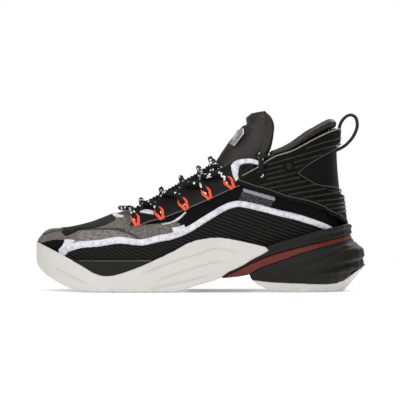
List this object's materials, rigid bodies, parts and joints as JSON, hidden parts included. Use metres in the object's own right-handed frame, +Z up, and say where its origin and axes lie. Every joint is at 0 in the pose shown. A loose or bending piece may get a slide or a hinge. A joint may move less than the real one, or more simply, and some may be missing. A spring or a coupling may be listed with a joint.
{
  "type": "basketball high top",
  "caption": "Left basketball high top with layered upper, ribbed ankle shell, padded tongue and collar, cord lace on fabric loops and a sculpted sole.",
  "frame": {"origin": "middle of the sole's overall length and width, on the ground", "axes": "+X towards the heel (toe towards -X), -Y towards the outer (lateral) side of the foot, +Z up"},
  "size_m": [0.2988, 0.1098, 0.1625],
  "materials": {
    "white_rubber": "smooth moulded, satin",
    "foam": "moulded foam, satin",
    "shank": "moulded plate, satin",
    "board": "non-woven board",
    "knit": "fine knit, black and grey",
    "side_textile": "black textile with diagonal ribs",
    "film": "fused film, satin",
    "shell": "moulded ribs, satin",
    "white_trim": "textured woven trim",
    "padding": "ribbed textile over foam",
    "collar_leather": "smooth padded synthetic leather",
    "lining": "brushed textile",
    "badge": "silvered, plain facets",
    "webbing": "woven tape",
    "lace_cord": "round woven cord, black with white flecks",
    "aglet_film": "shrunk film",
    "loop_cord": "round cord, orange red"
  },
  "bodies": {
    "shoe": {"forefoot_outsole": "white_rubber", "heel_outsole": "white_rubber", "midsole_carrier": "foam", "heel_pod": "foam", "shank_plate": "shank", "strobel_board": "board", "heel_counter": "board", "upper_bootie": "knit", "side_panel_lateral": "side_textile", "side_panel_medial": "side_textile", "toe_guard": "film", "heel_panel": "film", "vamp_film_lateral": "film", "vamp_film_medial": "film", "toe_strap_lateral": "film", "toe_strap_medial": "film", "eyestay_lateral": "film", "eyestay_medial": "film", "ankle_shell": "shell", "ankle_rivet_lateral": "shell", "ankle_rivet_medial": "shell", "side_piping_lateral": "white_trim", "side_piping_medial": "white_trim", "eyelet_patch_lateral": "white_trim", "eyelet_patch_medial": "white_trim", "ankle_padding": "padding", "tongue_base": "padding", "collar_roll": "collar_leather", "collar_lining": "lining", "sockliner": "lining", "lace": "lace_cord", "lace_end_lateral": "lace_cord", "lace_end_medial": "lace_cord", "aglet_lateral": "aglet_film", "aglet_medial": "aglet_film", "lace_loop_lateral_1": "loop_cord", "lace_loop_lateral_2": "loop_cord", "lace_loop_lateral_3": "loop_cord", "lace_loop_lateral_4": "loop_cord", "lace_loop_lateral_5": "loop_cord", "lace_loop_medial_1": "loop_cord", "lace_loop_medial_2": "loop_cord", "lace_loop_medial_3": "loop_cord", "lace_loop_medial_4": "loop_cord", "lace_loop_medial_5": "loop_cord"},
    "tongue_flap": {"tongue_top": "collar_leather", "tongue_badge": "badge"},
    "pull_loop": {"pull_loop": "webbing"}
  },
  "joints": [
    {"name": "tongue_flex", "type": "hinge", "parent": "shoe", "child": "tongue_flap", "pos_m": [0.0301, -0.00204, 0.115], "axis": [0, -1, 0], "range_deg": [-10, 12], "stiffness_Nm_per_rad": 0.15},
    {"name": "pull_loop_swing", "type": "hinge", "parent": "shoe", "child": "pull_loop", "pos_m": [0.1273, -0.00204, 0.138], "axis": [0.126, 0, 0.992], "range_deg": [-20, 20], "stiffness_Nm_per_rad": 0.002}
  ]
}
